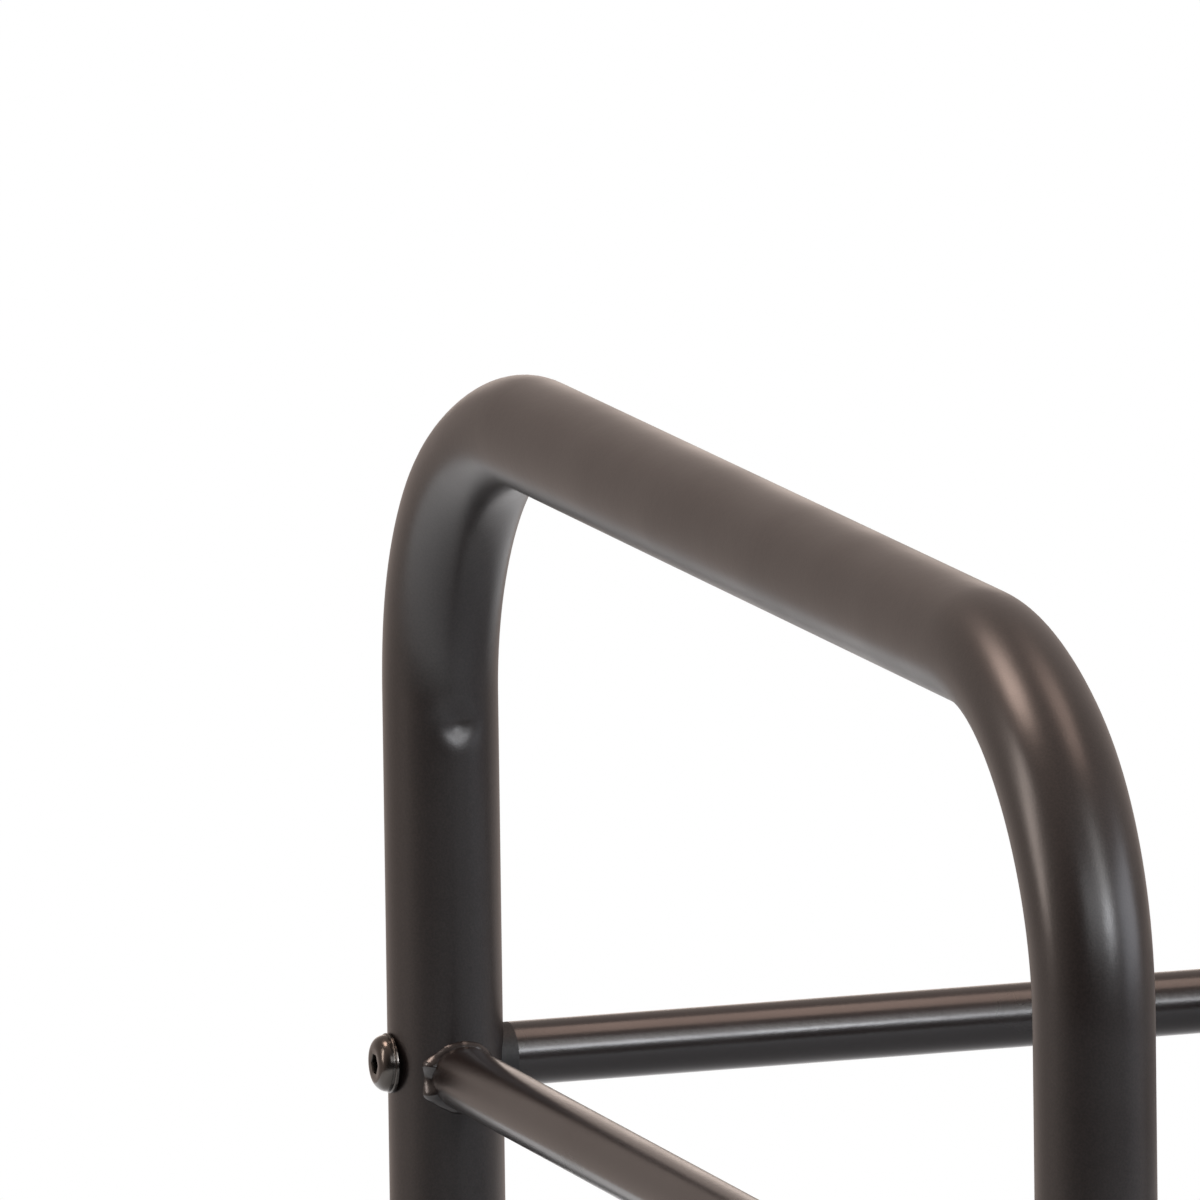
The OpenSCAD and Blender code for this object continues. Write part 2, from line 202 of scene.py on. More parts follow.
class RackFeet(bpy.types.PropertyGroup):
    """Rubber feet."""
    diameter: length("Diameter", "Outside diameter of a foot", 31)
    height: length("Height", "Height of a foot", 34)
    sole: length("Sole", "Thickness of the sole under the tube", 6)
    rib_depth: length("Rib depth", "Depth of the grooves between the ribs", 0.9)
    rib_pitch: length("Rib pitch", "Distance between neighbouring ribs", 5)


class RackColours(bpy.types.PropertyGroup):
    """Colours of the finishes."""
    coat: colour("Powder coat", "Dark brown-black of the coated tube", "#1b1615")
    steel: colour("Blackened steel", "Bolts, nuts and rivets", "#4a4744")
    webbing: colour("Webbing", "Spun yarn of the straps", "#232224")
    thread: colour("Thread", "Sewing thread", "#54504e")
    rubber: colour("Rubber", "Moulded rubber of the feet", "#1b1a1a")
    nylon: colour("Nylon", "Moulded nylon of the washers", "#0b0b0c")
    floor: colour("Floor", "Pale studio floor", "#b4bec6")


# ---- Surfaces ----

def skin(name, grid, wrap=(False, True), uv=None, sharp=40):
    """Mesh object over a grid of points, shaped (rows, columns, 3).

    Neighbouring rows and columns are joined by quads. wrap says whether the last row is joined to the
    first and the last column to the first. A row whose points coincide is one vertex, a pole, with
    triangles round it. If the closed surface's signed volume, the sum of a . (b x c) / 6 over its
    triangles, is negative, the faces are turned outwards. Edges steeper than sharp degrees stay crisp.
    """
    rows, columns = grid.shape[:2]
    index = np.arange(rows * columns).reshape(rows, columns)
    poles = np.ptp(grid, axis=1).max(axis=1) < 1e-7
    index[poles] = index[poles][:, :1]
    if wrap[0]:
        index = np.concatenate([index, index[:1]])
    if wrap[1]:
        index = np.concatenate([index, index[:, :1]], axis=1)
    kept, index = np.unique(index, return_inverse=True)
    index = index.reshape(rows + wrap[0], columns + wrap[1])
    points = grid.reshape(-1, 3)[kept]
    quads = np.stack([index[:-1, :-1], index[:-1, 1:], index[1:, 1:], index[1:, :-1]], axis=-1)
    quads = quads.reshape(-1, 4)
    a, b, c, d = (points[quads[:, i]] for i in range(4))
    if (a * np.cross(b, c)).sum() + (a * np.cross(c, d)).sum() < 0:
        quads = quads[:, ::-1]
    starts = quads[:, 0] == quads[:, 1]
    ends = quads[:, 2] == quads[:, 3]
    faces = quads[~(starts | ends)].tolist()
    faces += quads[starts][:, 1:].tolist() + quads[ends][:, :3].tolist()
    mesh = bpy.data.meshes.new(name)
    mesh.from_pydata(points.tolist(), [], faces)
    if uv is not None:
        corners = np.zeros(len(mesh.loops), dtype=np.int32)
        mesh.loops.foreach_get("vertex_index", corners)
        layer = mesh.uv_layers.new(name="Webbing")
        layer.data.foreach_set("uv", uv.reshape(-1, 2)[kept][corners].astype(np.float32).ravel())
    mesh.shade_smooth()
    mesh.set_sharp_from_angle(angle=math.radians(sharp))
    piece = bpy.data.objects.new(name, mesh)
    bpy.context.scene.collection.objects.link(piece)
    return piece


def joined(name, parts):
    """One object of several, in the order given."""
    with bpy.context.temp_override(active_object=parts[0], selected_editable_objects=parts):
        bpy.ops.object.join()
    parts[0].name = name
    parts[0].data.name = name
    return parts[0]


def turned(profile, columns=64):
    """Grid of a profile turned round Z. Each row of the profile is (radius, height, hexness).

    The radius at angle t is r (1 - k + k h(t)), where k is the row's hexness and h is a hexagon's
    reach, cos 30 / cos(t mod 60 - 30), so a round row has k = 0 and a six-sided one k = 1 with r as
    the distance to its corners.
    """
    radius, height, hexness = (np.array(profile, dtype=float)[:, [i]] for i in range(3))
    t = np.linspace(0, 2 * np.pi, columns, endpoint=False)
    reach = math.cos(math.pi / 6) / np.cos(np.mod(t, math.pi / 3) - math.pi / 6)
    r = radius * (1 - hexness + hexness * reach)
    return np.stack([r * np.cos(t), r * np.sin(t), height + 0 * t], axis=-1)


def placed(grid, x_axis, y_axis, z_axis, origin):
    """Grid with its own axes laid along the three given ones, from the given origin."""
    return grid @ np.array([x_axis, y_axis, z_axis], dtype=float) + np.array(origin, dtype=float)


def in_leg_frame(grid, end, splay):
    """Points given from the hinge's axis, with the leg along -Z, leaned outwards by the splay."""
    turn = -end * splay
    x, y, z = np.moveaxis(grid, -1, 0)
    return np.stack([
        end * HOOP_X + x * math.cos(turn) + z * math.sin(turn),
        y,
        HINGE_Z - x * math.sin(turn) + z * math.cos(turn),
    ], axis=-1)


def bell(x, centre, width):
    """Smooth bump of height 1, exp(-((x - centre) / width)^2)."""
    return np.exp(-((x - centre) / width) ** 2)


def smooth(x):
    """Smooth step from 0 to 1, 3 x^2 - 2 x^3 between 0 and 1."""
    x = np.clip(x, 0, 1)
    return x * x * (3 - 2 * x)


def hoop_grid(end, tubes):
    """Bent tube of a hoop: its outer wall from the front stub to the rear one, and its bore back.

    The centre line is up, quarter turn, along, quarter turn, down. At length s the two turns have
    gone through the angles a1 = (s - up) / R and a2 = (s - up - turn - along) / R, each held between
    0 and 90 degrees, which gives the point
    y = -y0 + R (1 - cos a1) + along(s) + R sin a2, z = z0 + up(s) + R sin a1 - R (1 - cos a2) - down(s)
    and the outward normal at 90 - a1 - a2 degrees to the horizontal. Round that point the wall lies
    at the tube's radius, less the sink and plus the swell on the outer side of a bend, plus the
    spread on its sides, and less the die's dent on its inner side, D exp(-(distance / radius)^2).
    Counted from the stub, the swell is at a fifth of the bend and the sink at seven tenths. The rows
    lie closer together at the dents, and so do the columns on the inner side.
    """
    turn_r = tubes.bend_radius
    up = TOP_Z - turn_r - STUB_Z
    turn = turn_r * math.pi / 2
    along = 2 * (LEG_Y - turn_r)
    total = 2 * up + 2 * turn + along
    dent = up - tubes.dent_drop
    close = dent + np.linspace(-2, 2, 25) * tubes.dent_size
    even = np.linspace(0, total, round(total / (3 * MM)))
    s = np.unique(np.concatenate([even, close, total - close]))
    a1 = np.clip((s - up) / turn_r, 0, math.pi / 2)
    a2 = np.clip((s - up - turn - along) / turn_r, 0, math.pi / 2)
    y = (-LEG_Y + turn_r * (1 - np.cos(a1)) + np.clip(s - up - turn, 0, along)
         + turn_r * np.sin(a2))
    z = (STUB_Z + np.minimum(s, up) + turn_r * np.sin(a1) - turn_r * (1 - np.cos(a2))
         - np.maximum(s - total + up, 0))
    normal = math.pi - a1 - a2
    share = np.where(a2 > 0, 1 - a2 / (math.pi / 2), a1 / (math.pi / 2))[:, None]
    bent = np.sin(np.pi * share) ** 2
    to_end = np.minimum(s, total - s)[:, None]
    t = np.linspace(0, 2 * np.pi, 96, endpoint=False)
    t = t + 0.6 * np.sin(t)
    outer_side = np.clip(np.cos(t), 0, 1) ** 1.5
    sunk = bell(share, 0.7, 0.2) * outer_side
    swollen = bell(share, 0.2, 0.14) * outer_side
    spread = bent * np.sin(t) ** 2
    dented = bell(to_end, dent, tubes.dent_size) * bell(TUBE_R * (t - np.pi), 0, tubes.dent_size)
    wall = (TUBE_R
            - tubes.bend_sink * sunk
            + tubes.bend_swell * swollen
            + tubes.bend_spread * spread
            - tubes.dent_depth * dented)

    def around(radius):
        out = radius * np.cos(t)
        return np.stack([
            end * HOOP_X + radius * np.sin(t),
            y[:, None] + out * np.cos(normal)[:, None],
            z[:, None] + out * np.sin(normal)[:, None],
        ], axis=-1)

    return np.concatenate([around(wall), around(wall - tubes.wall)[::-1]])


def bead_grid(side, height, end, tubes):
    """Weld bead in the corner between a round leg and a bar that meets it at right angles.

    The corner's line at angle t round the bar is x = r cos t, z = r sin t and, from the leg's axis,
    y = sqrt(R^2 - x^2). The section is an arc that starts and ends b from the corner. Its middle is
    sunk by c = m b into both walls, so its radius is sqrt(c^2 + (b + c)^2), and its back is closed
    inside them. b ripples 13 times round the bar, by 4 percent, as the welder's arc steps forward,
    and the bead swells into two lumps on the outer side, where it starts and stops. m is 1 where the
    bead is thin and 0.2 in a lump, which makes it round.
    """
    t = np.linspace(0, 2 * np.pi, 240, endpoint=False)[:, None]
    start, stop = bell(t, 0.88 * np.pi, 0.2), bell(t, 1.14 * np.pi, 0.3)
    lump = start + stop
    size = tubes.bead_size * (1 + 0.04 * np.sin(13 * t) + 1.2 * lump)
    centre = size * (1 - 0.8 * np.minimum(lump, 1))
    radius = np.hypot(centre, size + centre)
    first = np.arctan2(centre, size + centre)
    a = first + np.linspace(0, 1, 11) * (math.pi / 2 - 2 * first)
    back = np.full_like(size, -0.5 * tubes.wall)
    bite = 0.05 * MM
    u = np.hstack([radius * np.cos(a) - centre - bite, back])
    v = np.hstack([radius * np.sin(a) - centre - bite, back])
    y = np.sqrt(TUBE_R ** 2 - (RAIL_R * np.cos(t)) ** 2) + v
    return np.stack([
        -end * (RAIL_R + u) * np.cos(t),
        side * (LEG_Y - y),
        height + (RAIL_R + u) * np.sin(t),
    ], axis=-1)


def bolt_profile(head, head_h, shank, shank_len, socket, depth):
    """Button-head bolt, from the middle of its socket's floor to the middle of its tip.

    The mouth of the socket has a small bevel, a flat ring lies round it, and the dome is a quarter of
    an ellipse from that ring to the rim. The rim is rounded above and bevelled below.
    """
    rim_h, rim_round, rim_bevel = 0.9 * MM, 0.3 * MM, 0.2 * MM
    tip_bevel = 0.6 * MM
    corner = socket / 2 / math.cos(math.pi / 6)
    ring = corner + 1.1 * MM
    floor_h = head_h - depth
    dome_foot = head / 2 - rim_round
    rows = [(0, floor_h, 0), (0.6 * corner, floor_h, 0), (corner, floor_h, 1)]
    rows += [(corner, head_h - 0.35 * MM, 1), (corner + 0.12 * MM, head_h - 0.1 * MM, 1)]
    rows += [(ring - 0.1 * MM, head_h, 0.3), (ring, head_h, 0)]
    rows += [(ring + (dome_foot - ring) * math.sin(a), rim_h + (head_h - rim_h) * math.cos(a), 0)
             for a in np.linspace(0, math.pi / 2, 14)[1:]]
    rows += [(dome_foot + rim_round * math.sin(a), rim_h - rim_round * (1 - math.cos(a)), 0)
             for a in np.linspace(0, math.pi / 2, 5)]
    rows += [(head / 2, rim_bevel, 0), (head / 2 - rim_bevel, 0, 0), (shank / 2, 0, 0)]
    rows += [(shank / 2, tip_bevel - shank_len, 0), (shank / 2 - tip_bevel, -shank_len, 0)]
    rows += [(0, -shank_len, 0)]
    return rows


def nut_profile(bolts):
    """Lock nut: bevelled hexagon below and the round collar of its nylon ring above.

    Its top is closed a little below the collar's rim, where the bolt's end shows.
    """
    flat = bolts.nut / 2
    corner = flat / math.cos(math.pi / 6)
    bevel = 0.8 * MM
    rim = 1 * MM
    mouth_depth = 0.6 * MM
    hex_h, height = bolts.nut_hex_h, bolts.nut_h
    collar = bolts.nut_collar / 2
    mouth = bolts.pivot_shank / 2
    return [
        (0, 0, 0), (flat - 0.3 * MM, 0, 0), (corner, bevel, 1), (corner, hex_h - bevel, 1),
        (flat - 0.1 * MM, hex_h, 0), (collar, hex_h + 0.1 * MM, 0), (collar, height - rim, 0),
        (collar - 0.3 * rim, height - 0.4 * rim, 0), (collar - rim, height, 0),
        (mouth, height, 0), (mouth - 0.2 * MM, height - mouth_depth, 0), (0, height - mouth_depth, 0),
    ]


def strap_path(straps):
    """Middle line of a strap from its middle to the end of its turned-in end, as arrays of y, z, the
    length s up to there and the heading.

    The heading is 0 along the top, turns through 180 degrees plus the rise round the rail, goes up at
    the rise, and is level again in the seam. y and z are the running sums of the steps in s times
    the cosine and the sine of the heading.
    """
    row_step = 1.2 * MM
    level_len = 8 * MM
    loop_r = STRAP_TOP - RAIL_Z - straps.thickness / 2
    lower = loop_r - straps.thickness - straps.ply_gap
    rise = straps.seam_rise
    run = (lower + loop_r * math.cos(rise)) / math.sin(rise)
    bends = np.cumsum([LEG_Y, loop_r * (math.pi + rise), run, straps.seam])
    s = np.linspace(0, bends[3], round(bends[3] / row_step))
    level = smooth((s - bends[2]) / level_len + 0.5)
    heading = -np.clip((s - bends[0]) / loop_r, 0, math.pi + rise) + rise * level
    step = np.diff(s, prepend=0)
    middle = (heading + np.roll(heading, 1)) / 2
    middle[0] = 0
    y = np.cumsum(step * np.cos(middle))
    z = RAIL_Z + loop_r + np.cumsum(step * np.sin(middle))
    return y, z, s, heading


def strap_lift(y, straps):
    """How far a strap hangs below its ends at y, sag (1 - (y / y0)^2)^2."""
    return -straps.sag * (1 - np.clip(y / LEG_Y, -1, 1) ** 2) ** 2


def strap_grid(place, straps):
    """Webbing carried along its path, with the UV of its weave in metres.

    Across the strap the section is a flat band whose edges are half rounds. Its selvedges, a little
    in from the edges, rise by their height times exp(-((x - x0) / width)^2).
    """
    selvedge_h, selvedge_in, selvedge_w = 0.08 * MM, 1.4 * MM, 0.9 * MM
    y, z, s, heading = strap_path(straps)
    y = np.concatenate([-y[:0:-1], y])
    z = np.concatenate([z[:0:-1], z])
    s = np.concatenate([-s[:0:-1], s])
    heading = np.concatenate([-heading[:0:-1], heading])
    z = z + strap_lift(y, straps)
    half = straps.thickness / 2
    across = STRAP_W / 2 - half
    flat = np.linspace(-across, across, 30)
    cap = np.linspace(-math.pi / 2, math.pi / 2, 7)[1:-1]
    thick = half + selvedge_h * bell(np.abs(flat), across - selvedge_in, selvedge_w)
    x = np.concatenate([flat, across + half * np.cos(cap), flat[::-1], -across - half * np.cos(cap)])
    lift = np.concatenate([-thick, half * np.sin(cap), thick[::-1], -half * np.sin(cap)])
    grid = np.stack([
        place + x + 0 * y[:, None],
        y[:, None] - lift * np.sin(heading)[:, None],
        z[:, None] + lift * np.cos(heading)[:, None],
    ], axis=-1)
    uv = np.stack([0 * s[:, None] + x, s[:, None] + 0 * x], axis=-1)
    return grid, uv, 2 * float(s[-1])


def stitch_places(straps):
    """Middles and directions of the stitches of one seam, in the strap's plane, from the middle of
    the seam's inner edge.

    A box with a cross: the stitches lie along the four sides of the box and its two diagonals, in
    equal parts of each that are about a stitch long.
    """
    margin = 4 * MM
    wide, long_ = STRAP_W - 2 * margin, straps.seam - 2 * margin
    corners = np.array([[0, 0], [wide, 0], [wide, long_], [0, long_]]) - [wide / 2, 0]
    ends = [(0, 1), (1, 2), (2, 3), (3, 0), (0, 2), (1, 3)]
    middles, ways = [], []
    for a, b in ends:
        line = corners[b] - corners[a]
        count = round(float(np.hypot(*line)) / straps.stitch)
        share = (np.arange(count)[:, None] + 0.5) / count
        middles.append(corners[a] + share * line)
        ways.append(np.tile(line / np.hypot(*line), (count, 1)))
    return np.concatenate(middles) + [0, margin], np.concatenate(ways)


def capsules(middles, ways, heights, size, long_):
    """Round-ended stitches as one grid each: rows are (stitch, ring, column).

    Along a stitch u runs from -1 to 1, its radius is size sqrt(1 - u^4) and its height falls off as
    -0.6 size u^2, so that its ends dip into the cloth.
    """
    u = np.linspace(-1, 1, 7)
    t = np.linspace(0, 2 * np.pi, 6, endpoint=False)
    radius = size * np.sqrt(np.maximum(1 - u ** 4, 0))
    along = 0.5 * long_ * u
    side = radius[:, None] * np.cos(t)
    up = radius[:, None] * np.sin(t) - 0.6 * size * u[:, None] ** 2
    cross = np.stack([-ways[:, 1], ways[:, 0]], axis=-1)
    x, y = (middles[:, i, None, None] + ways[:, i, None, None] * along[:, None]
            + cross[:, i, None, None] * side for i in range(2))
    return x, y, heights[:, None, None] + up


def many(name, x, y, z):
    """One mesh of many closed grids of the same form, arrays shaped (piece, row, column).

    First and last rows are poles: their points coincide and are merged.
    """
    pieces = len(x)
    first = skin(name, np.stack([x[0], y[0], z[0]], axis=-1))
    count = len(first.data.vertices)
    faces = np.array([list(p.vertices) + [-1] * (4 - len(p.vertices)) for p in first.data.polygons])
    bpy.data.objects.remove(first)
    grids = np.stack([x, y, z], axis=-1)
    points = np.concatenate([
        grids[:, :1, 0], grids[:, 1:-1].reshape(pieces, -1, 3), grids[:, -1:, 0]], axis=1)
    offsets = count * np.arange(pieces)[:, None, None]
    quads = (faces[faces[:, 3] >= 0] + offsets).reshape(-1, 4)
    threes = (faces[faces[:, 3] < 0][:, :3] + offsets).reshape(-1, 3)
    mesh = bpy.data.meshes.new(name)
    mesh.from_pydata(points.reshape(-1, 3).tolist(), [], quads.tolist() + threes.tolist())
    mesh.shade_smooth()
    piece = bpy.data.objects.new(name, mesh)
    bpy.context.scene.collection.objects.link(piece)
    return piece


def foot_profile(feet):
    """Ribbed rubber foot, from the middle of its bore's floor to the middle of its sole.

    Its outer side is a wave, depth ((1 + cos(2 pi h / pitch)) / 2)^4, which leaves wide ribs and
    narrow grooves and fades out under the round rim. The sole goes on below the floor, and cut_level
    brings it up.
    """
    bore_gap, ribs_in = 0.05 * MM, 0.1 * MM
    plain_top, plain_foot, fade_len = 1 * MM, 5 * MM, 1 * MM
    heel_h, sole_depth, sole_bevel = 3.5 * MM, 4 * MM, 1 * MM
    outer = feet.diameter / 2
    bore = TUBE_R + bore_gap
    rim = (outer - bore) / 2 - ribs_in
    top = feet.height - rim
    heights = np.linspace(top - plain_top, plain_foot, 60)
    groove = ((1 + np.cos(2 * np.pi * (heights - top) / feet.rib_pitch)) / 2) ** 4
    fade = np.clip((top - 2 * plain_top - heights) / fade_len, 0, 1)
    rows = [(0, feet.sole, 0), (bore, feet.sole, 0)]
    rows += [(bore + rim + rim * math.cos(a), top + rim * math.sin(a), 0)
             for a in np.linspace(math.pi, 0, 9)]
    rows += [(outer - ribs_in - feet.rib_depth * g * f, h, 0)
             for h, g, f in zip(heights, groove, fade)]
    rows += [(outer, heel_h, 0), (outer, -sole_depth / 2, 0)]
    rows += [(outer - sole_bevel, -sole_depth, 0), (0, -sole_depth, 0)]
    return rows


def cut_level(grid, splay, end):
    """Moves what lies under the floor, z < 0, up along the leg until it lies on it: z becomes 0 and x
    goes inwards by -z tan(splay).
    """
    lean = end * math.tan(splay)
    below = np.minimum(grid[..., 2], 0)
    grid[..., 0] = grid[..., 0] + lean * below
    grid[..., 2] = grid[..., 2] - below
    return grid


# ---- Finishes ----

def add(tree, kind, settings=None, links=None):
    """Adds a node, with its settings by property or socket name, and its linked inputs."""
    node = tree.nodes.new(kind)
    for name, value in (settings or {}).items():
        if isinstance(name, int) or name in node.inputs:
            node.inputs[name].default_value = value
        else:
            setattr(node, name, value)
    for name, source in (links or {}).items():
        tree.links.new(source, node.inputs[name])
    return node


def finish(name):
    """Empty node tree of a new material, with its output."""
    material = bpy.data.materials.new(name)
    material.use_nodes = True
    tree = material.node_tree
    tree.nodes.clear()
    return material, tree, tree.nodes.new("ShaderNodeOutputMaterial")


def powder_coat(name, tone, rough):
    """Polyester powder sprayed on steel and baked: satin, with a fine orange peel."""
    material, tree, output = finish(name)
    where = add(tree, "ShaderNodeTexCoord").outputs["Object"]
    # Orange peel flows out at about 2.5 mm. The powder's own grain is finer, and is drawn at 0.5 mm
    # so that it shows. Over some 30 mm the coat lies thicker and thinner, which shifts its gloss.
    peel = add(tree, "ShaderNodeTexNoise", {"Scale": 1 / (2.5 * MM), "Detail": 1}, {"Vector": where})
    grain = add(tree, "ShaderNodeTexNoise", {"Scale": 1 / (0.5 * MM), "Detail": 2}, {"Vector": where})
    cloud = add(tree, "ShaderNodeTexNoise", {"Scale": 1 / (30 * MM), "Detail": 3}, {"Vector": where})
    relief = add(tree, "ShaderNodeMix", {"data_type": "FLOAT", "Factor": 0.5},
                 {"A": peel.outputs["Fac"], "B": grain.outputs["Fac"]})
    bump = add(tree, "ShaderNodeBump", {"Strength": 0.35, "Distance": 0.08 * MM},
               {"Height": relief.outputs["Result"]})
    uneven = add(tree, "ShaderNodeMapRange",
                 {"From Min": 0.3, "From Max": 0.7, "To Min": rough[0], "To Max": rough[1]},
                 {"Value": cloud.outputs["Fac"]})
    speck = add(tree, "ShaderNodeMapRange",
                {"From Min": 0.35, "From Max": 0.65, "To Min": 0.7, "To Max": 1.35},
                {"Value": grain.outputs["Fac"]})
    shade = add(tree, "ShaderNodeVectorMath", {"operation": "SCALE", 0: tone[:3]},
                {"Scale": speck.outputs["Result"]})
    surface = add(tree, "ShaderNodeBsdfPrincipled", {"IOR": 1.52},
                  {"Base Color": shade.outputs["Vector"], "Roughness": uneven.outputs["Result"],
                   "Normal": bump.outputs["Normal"]})
    tree.links.new(surface.outputs["BSDF"], output.inputs["Surface"])
    return material


def blackened_steel(name, tone):
    """Zinc-nickel plating, blackened: a dark metal with a bright, slightly mottled sheen."""
    material, tree, output = finish(name)
    where = add(tree, "ShaderNodeTexCoord").outputs["Object"]
    mottle = add(tree, "ShaderNodeTexNoise", {"Scale": 1 / (1.2 * MM), "Detail": 3}, {"Vector": where})
    rough = add(tree, "ShaderNodeMapRange",
                {"From Min": 0.3, "From Max": 0.7, "To Min": 0.16, "To Max": 0.26},
                {"Value": mottle.outputs["Fac"]})
    bump = add(tree, "ShaderNodeBump", {"Strength": 0.15, "Distance": 0.02 * MM},
               {"Height": mottle.outputs["Fac"]})
    surface = add(tree, "ShaderNodeBsdfPrincipled", {"Base Color": tone, "Metallic": 1.0},
                  {"Roughness": rough.outputs["Result"], "Normal": bump.outputs["Normal"]})
    tree.links.new(surface.outputs["BSDF"], output.inputs["Surface"])
    return material


def woven_webbing(name, tone):
    """Spun polypropylene webbing: ribs across the strap in a herringbone, with soft fuzz."""
    material, tree, output = finish(name)
    place = add(tree, "ShaderNodeUVMap", {"uv_map": "Webbing"}).outputs["UV"]
    # Cords of the warp lie 1.5 mm apart, and ribs of the weft 2.4 mm, leaning the other way every
    # 6 mm: a little coarser than spun yarn, so that they show
    cord_pitch, rib_pitch, fold_w = 1.5 * MM, 2.4 * MM, 6 * MM
    split = add(tree, "ShaderNodeSeparateXYZ", None, {"Vector": place})
    fold = add(tree, "ShaderNodeMath", {"operation": "PINGPONG", 1: fold_w}, {0: split.outputs["X"]})
    slant = add(tree, "ShaderNodeMath", {"operation": "ADD"},
                {0: fold.outputs["Value"], 1: split.outputs["Y"]})
    turn = add(tree, "ShaderNodeMath", {"operation": "MULTIPLY", 1: 2 * math.pi / rib_pitch},
               {0: slant.outputs["Value"]})
    rib = add(tree, "ShaderNodeMath", {"operation": "SINE"}, {0: turn.outputs["Value"]})
    warp = add(tree, "ShaderNodeMath", {"operation": "MULTIPLY", 1: 2 * math.pi / cord_pitch},
               {0: split.outputs["X"]})
    cord = add(tree, "ShaderNodeMath", {"operation": "SINE"}, {0: warp.outputs["Value"]})
    yarn = add(tree, "ShaderNodeMath", {"operation": "MULTIPLY_ADD", 1: 0.45},
               {0: cord.outputs["Value"], 2: rib.outputs["Value"]})
    fuzz = add(tree, "ShaderNodeTexNoise", {"Scale": 1 / (0.7 * MM), "Detail": 4}, {"Vector": place})
    relief = add(tree, "ShaderNodeMath", {"operation": "MULTIPLY_ADD", 1: 1.2},
                 {0: fuzz.outputs["Fac"], 2: yarn.outputs["Value"]})
    bump = add(tree, "ShaderNodeBump", {"Strength": 0.6, "Distance": 0.15 * MM},
               {"Height": relief.outputs["Value"]})
    # Painted shade: the webbing's colour is darker in the grooves of its weave and lighter on its ridges,
    # following the relief, and the fuzz also varies its tone at random
    weave_shade_and_fuzz = add(tree, "ShaderNodeMapRange",
               {"From Min": -1.4, "From Max": 1.8, "To Min": 0.55, "To Max": 1.45},
               {"Value": relief.outputs["Value"]})
    shade = add(tree, "ShaderNodeVectorMath", {"operation": "SCALE", 0: tone[:3]},
                {"Scale": weave_shade_and_fuzz.outputs["Result"]})
    surface = add(tree, "ShaderNodeBsdfPrincipled",
                  {"Roughness": 0.75, "Sheen Weight": 0.25, "Sheen Roughness": 0.4},
                  {"Base Color": shade.outputs["Vector"], "Normal": bump.outputs["Normal"]})
    tree.links.new(surface.outputs["BSDF"], output.inputs["Surface"])
    return material


def sewing_thread(name, tone):
    """Bonded polyester thread: a fine twist with a low gloss."""
    material, tree, output = finish(name)
    where = add(tree, "ShaderNodeTexCoord").outputs["Object"]
    twist = add(tree, "ShaderNodeTexWave",
                {"Scale": 1 / (1.2 * MM), "Distortion": 1.5, "bands_direction": "DIAGONAL"},
                {"Vector": where})
    bump = add(tree, "ShaderNodeBump", {"Strength": 0.4, "Distance": 0.05 * MM},
               {"Height": twist.outputs["Fac"]})
    surface = add(tree, "ShaderNodeBsdfPrincipled", {"Base Color": tone, "Roughness": 0.5},
                  {"Normal": bump.outputs["Normal"]})
    tree.links.new(surface.outputs["BSDF"], output.inputs["Surface"])
    return material


def moulded(name, tone, rough, grain_mm, depth_mm):
    """Moulded rubber or nylon: matte, with the fine grain of the mould."""
    material, tree, output = finish(name)
    where = add(tree, "ShaderNodeTexCoord").outputs["Object"]
    grain = add(tree, "ShaderNodeTexNoise", {"Scale": 1 / (grain_mm * MM), "Detail": 3}, {"Vector": where})
    bump = add(tree, "ShaderNodeBump", {"Strength": 0.3, "Distance": depth_mm * MM},
               {"Height": grain.outputs["Fac"]})
    spread = add(tree, "ShaderNodeMapRange",
                 {"From Min": 0.3, "From Max": 0.7, "To Min": rough - 0.06, "To Max": rough + 0.06},
                 {"Value": grain.outputs["Fac"]})
    surface = add(tree, "ShaderNodeBsdfPrincipled", {"Base Color": tone},
                  {"Roughness": spread.outputs["Result"], "Normal": bump.outputs["Normal"]})
    tree.links.new(surface.outputs["BSDF"], output.inputs["Surface"])
    return material


def dress(piece, body, slot, material, *nodes):
    """Finishes a new piece: its material, the body it rides on and the nodes it stands for."""
    piece.data.materials.clear()
    piece.data.materials.append(bpy.data.materials[material])
    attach(piece, body)
    if nodes:
        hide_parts(*nodes)
    return piece


# ---- Operators, one for each group of pieces ----

class RACK_OT_finishes(bpy.types.Operator):
    """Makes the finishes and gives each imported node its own"""
    bl_idname = "luggage_rack.finishes"
    bl_label = "Finishes"

    def execute(self, context):
        tone = context.scene.rack_colours
        made = {
            "powder_coat": powder_coat("Powder coated bars", tone.coat, rough=(0.22, 0.28)),
            "black_steel": blackened_steel("Blackened steel", tone.steel),
            "webbing": woven_webbing("Polypropylene webbing", tone.webbing),
            "rubber": moulded("Moulded rubber", tone.rubber, rough=0.62, grain_mm=0.8, depth_mm=0.05),
            "nylon": moulded("Moulded nylon", tone.nylon, rough=0.6, grain_mm=0.5, depth_mm=0.02),
        }
        powder_coat("Powder coated hoops", tone.coat, rough=(0.3, 0.37))
        sewing_thread("Bonded thread", tone.thread)
        for node in frame["nodes"].values():
            for place in node.material_slots:
                place.material = made[place.material.name]
        return {"FINISHED"}


class RACK_OT_hoops(bpy.types.Operator):
    """Bends the two hoops"""
    bl_idname = "luggage_rack.hoops"
    bl_label = "Hoops"

    def execute(self, context):
        for end, name in END_NAMES.items():
            grid = hoop_grid(end, context.scene.rack_tubes)
            piece = skin(f"{name}_hoop_tube", grid, wrap=(True, True))
            dress(piece, "upper_frame", "powder_coat", "Powder coated hoops", f"{name}_hoop")
        return {"FINISHED"}


